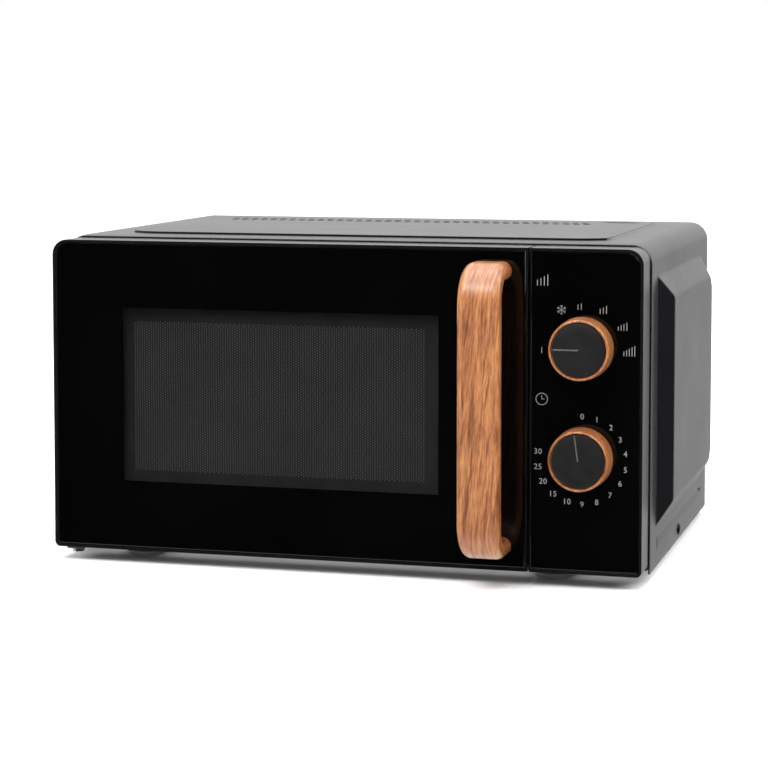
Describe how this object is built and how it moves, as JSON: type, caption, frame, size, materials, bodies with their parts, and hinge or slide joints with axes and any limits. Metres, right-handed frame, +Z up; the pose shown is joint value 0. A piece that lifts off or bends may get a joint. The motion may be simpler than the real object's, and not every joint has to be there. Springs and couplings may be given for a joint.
{
  "type": "microwave oven",
  "caption": "Countertop microwave oven with black glass front, wood-effect bow handle, two round dials, side-hinged door and a glass turntable.",
  "frame": {"origin": "on the ground at the centre of the overall box", "axes": "+X right as seen from the front, +Y to the back, +Z up"},
  "size_m": [0.459, 0.366, 0.2425],
  "materials": {
    "cabinet_paint": "semi-gloss black paint",
    "black_plastic": "satin black",
    "black_glass": "black back-printed, polished",
    "wood_effect": "light brown wood grain, satin",
    "knob_face": "satin dark grey",
    "enamel": "light grey enamel",
    "zinc_steel": "zinc plated",
    "clear_glass": "clear",
    "door_film": "clear film",
    "mica": "mica sheet",
    "copper_wire": "enamelled copper wire",
    "core_steel": "varnished steel",
    "white_plastic": "moulded white",
    "circuit_board": "green board",
    "rubber": "matte black",
    "screw_steel": "blackened"
  },
  "bodies": {
    "oven": {"outer_cabinet": "cabinet_paint", "base_plate": "zinc_steel", "rear_panel": "cabinet_paint", "front_plate": "enamel", "cavity": "enamel", "front_foot_left": "rubber", "front_foot_right": "rubber", "rear_foot_left": "rubber", "rear_foot_right": "rubber", "lower_hinge": "zinc_steel", "upper_hinge": "zinc_steel", "lower_hinge_pin": "zinc_steel", "upper_hinge_pin": "zinc_steel", "interlock_bracket": "white_plastic", "lower_switch": "black_plastic", "upper_switch": "black_plastic", "magnetron": "zinc_steel", "waveguide": "zinc_steel", "waveguide_cover": "mica", "transformer_core": "core_steel", "transformer_winding": "copper_wire", "capacitor": "zinc_steel", "rectifier_diode": "black_plastic", "filter_board": "circuit_board", "timer_unit": "white_plastic", "power_selector": "white_plastic", "timer_bell": "zinc_steel", "fan_shroud": "zinc_steel", "fan_motor": "core_steel", "cavity_lamp": "clear_glass", "thermal_cutout": "black_plastic", "turntable_motor": "zinc_steel", "cord_gland": "black_plastic", "control_panel": "black_plastic", "panel_glass": "black_glass", "right_side_screw": "screw_steel", "left_side_screw": "screw_steel"},
    "door": {"door_frame": "black_plastic", "door_glass": "black_glass", "door_screen": "core_steel", "choke_ring": "core_steel", "choke_cover": "black_plastic", "inner_window": "door_film", "door_handle": "wood_effect", "lower_handle_screw": "screw_steel", "upper_handle_screw": "screw_steel", "latch_spring": "zinc_steel"},
    "latch": {"latch_hook": "white_plastic"},
    "timer_dial": {"timer_knob": "wood_effect", "timer_knob_cap": "knob_face"},
    "power_dial": {"power_knob": "wood_effect", "power_knob_cap": "knob_face"},
    "coupler": {"turntable_coupler": "white_plastic"},
    "tray": {"glass_tray": "clear_glass"},
    "roller_frame": {"roller_ring": "white_plastic"},
    "roller_a": {"roller_1": "white_plastic"},
    "roller_b": {"roller_2": "white_plastic"},
    "roller_c": {"roller_3": "white_plastic"},
    "fan": {"fan_blade": "white_plastic"},
    "lever": {"interlock_lever": "white_plastic"}
  },
  "joints": [
    {"name": "door_hinge", "type": "hinge", "parent": "oven", "child": "door", "pos_m": [-0.208, -0.124, 0.12], "axis": [0, 0, -1], "range_deg": [0, 95]},
    {"name": "latch_slide", "type": "slide", "parent": "door", "child": "latch", "axis": [0, 0, 1], "range_m": [0, 0.0035], "stiffness_N_per_m": 400, "springref_m": -0.002, "deforming": ["latch_spring"]},
    {"name": "timer_turn", "type": "hinge", "parent": "oven", "child": "timer_dial", "pos_m": [0.178, -0.141, 0.0927], "axis": [0, 1, 0], "range_deg": [0, 285]},
    {"name": "power_turn", "type": "hinge", "parent": "oven", "child": "power_dial", "pos_m": [0.178, -0.141, 0.1699], "axis": [0, 1, 0], "range_deg": [0, 180]},
    {"name": "turntable_spin", "type": "hinge", "parent": "oven", "child": "coupler", "pos_m": [-0.0425, 0.03445, 0.028], "axis": [0, 0, 1], "continuous": true},
    {"name": "tray_lift", "type": "slide", "parent": "coupler", "child": "tray", "axis": [0, 0, 1], "range_m": [0, 0.05]},
    {"name": "roller_frame_spin", "type": "hinge", "parent": "oven", "child": "roller_frame", "pos_m": [-0.0425, 0.03445, 0.028], "axis": [0, 0, 1], "continuous": true},
    {"name": "fan_spin", "type": "hinge", "parent": "oven", "child": "fan", "pos_m": [0.176, 0.138, 0.158], "axis": [0, 1, 0], "continuous": true},
    {"name": "lever_press", "type": "hinge", "parent": "oven", "child": "lever", "pos_m": [0.128, -0.079, 0.097], "axis": [1, 0, 0], "range_deg": [0, 6], "stiffness_Nm_per_rad": 0.05, "springref_deg": -5.73},
    {"name": "roller_a_spin", "type": "hinge", "parent": "roller_frame", "child": "roller_a", "pos_m": [-0.0425, 0.12845, 0.0363], "axis": [0, 1, 0], "continuous": true},
    {"name": "roller_b_spin", "type": "hinge", "parent": "roller_frame", "child": "roller_b", "pos_m": [-0.12391, -0.01255, 0.0363], "axis": [-0.866, -0.5, 0], "continuous": true},
    {"name": "roller_c_spin", "type": "hinge", "parent": "roller_frame", "child": "roller_c", "pos_m": [0.03891, -0.01255, 0.0363], "axis": [0.866, -0.5, 0], "continuous": true}
  ],
  "couplings": [
    {"joint": "roller_frame_spin", "follows": "turntable_spin", "ratio": 0.5},
    {"joint": "roller_a_spin", "follows": "turntable_spin", "ratio": -5.875},
    {"joint": "roller_b_spin", "follows": "turntable_spin", "ratio": -5.875},
    {"joint": "roller_c_spin", "follows": "turntable_spin", "ratio": -5.875}
  ]
}
